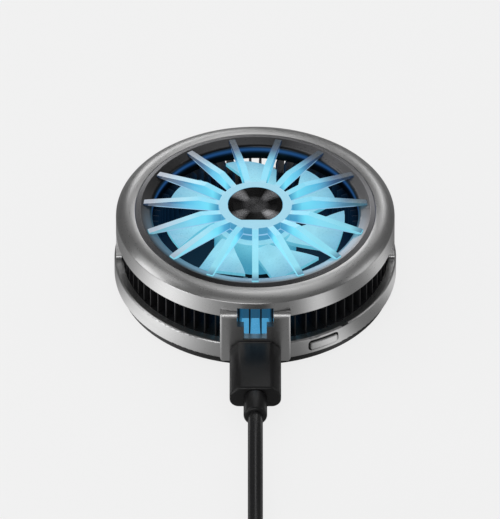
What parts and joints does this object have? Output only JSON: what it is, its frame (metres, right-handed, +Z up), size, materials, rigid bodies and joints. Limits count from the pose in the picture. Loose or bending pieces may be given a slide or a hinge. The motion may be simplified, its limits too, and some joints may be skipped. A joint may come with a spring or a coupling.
{
  "type": "phone cooling fan",
  "caption": "Round magnetic phone cooler with a lit spoked grille over a swept fan, a ring of radial fins, a domed top ring, a front bracket with a window and a plugged-in USB lead.",
  "frame": {"origin": "middle of the contact face on the surface that the cooler stands on", "axes": "+Z up along the fan's axis, -Y toward the USB port at the front, +X to the right seen from the front"},
  "size_m": [0.0883, 0.1894, 0.0229],
  "materials": {
    "silver_metal": "satin grey",
    "dark_metal": "satin dark grey",
    "clear_plastic": "clear, lit from the hub",
    "fan_plastic": "frosted clear",
    "black_metal": "black, spun",
    "black_fins": "black anodised",
    "bare_aluminium": "turned",
    "steel": "plain",
    "magnet": "nickel plated",
    "brass": "turned",
    "copper": "enamelled wire",
    "board": "solder mask",
    "white_board": "white solder mask",
    "lights": "lit",
    "ceramic": "plain",
    "pellets": "sawn",
    "black_plastic": "fine texture",
    "white_plastic": "plain",
    "foam": "closed-cell foam",
    "silicone": "soft matte",
    "cord": "soft sheath",
    "wire_red": "sheath"
  },
  "bodies": {
    "housing": {"lower_shell": "silver_metal", "window_lens": "clear_plastic", "top_ring": "silver_metal", "inlet_ring": "dark_metal", "light_grille": "clear_plastic", "hub_cap": "black_metal", "led_board": "white_board", "led_chips": "lights", "bearing_sleeve": "brass", "thrust_pad": "black_plastic", "stator_core": "steel", "stator_coils": "copper", "motor_base": "board", "fan_lead": "white_plastic", "heatsink": "black_fins", "tact_switch": "steel", "control_board": "board", "board_components": "black_plastic", "usb_c_socket": "steel", "socket_tongue": "black_plastic", "peltier_hot_plate": "ceramic", "peltier_pellets": "pellets", "peltier_cold_plate": "ceramic", "peltier_leads": "wire_red", "insulation_frame": "foam", "cold_plate": "bare_aluminium", "base_cover": "black_plastic", "magnets": "magnet", "magnet_backing": "steel", "contact_pad": "silicone", "case_screws": "steel"},
    "fan": {"impeller": "fan_plastic", "rotor_yoke": "steel", "rotor_magnet": "magnet", "fan_shaft": "steel"},
    "button": {"power_button": "silver_metal", "switch_plunger": "black_plastic"},
    "lead": {"plug_overmold": "black_plastic", "plug_shell": "steel", "strain_relief": "black_plastic", "cable_lead": "cord", "cable_coil": "cord", "cable_tail": "cord", "cable_tie": "black_plastic", "usb_a_overmold": "black_plastic", "usb_a_shell": "steel", "usb_a_tongue": "white_plastic"}
  },
  "joints": [
    {"name": "fan_spin", "type": "hinge", "parent": "housing", "child": "fan", "pos_m": [0, 0, 0.0125], "axis": [0, 0, 1], "continuous": true},
    {"name": "button_press", "type": "slide", "parent": "housing", "child": "button", "axis": [-0.4848, 0.8746, 0], "range_m": [0, 0.0004], "stiffness_N_per_m": 800, "springref_m": -0.0002},
    {"name": "plug_pull", "type": "slide", "parent": "housing", "child": "lead", "axis": [0, -1, 0], "range_m": [0, 0.008]}
  ]
}
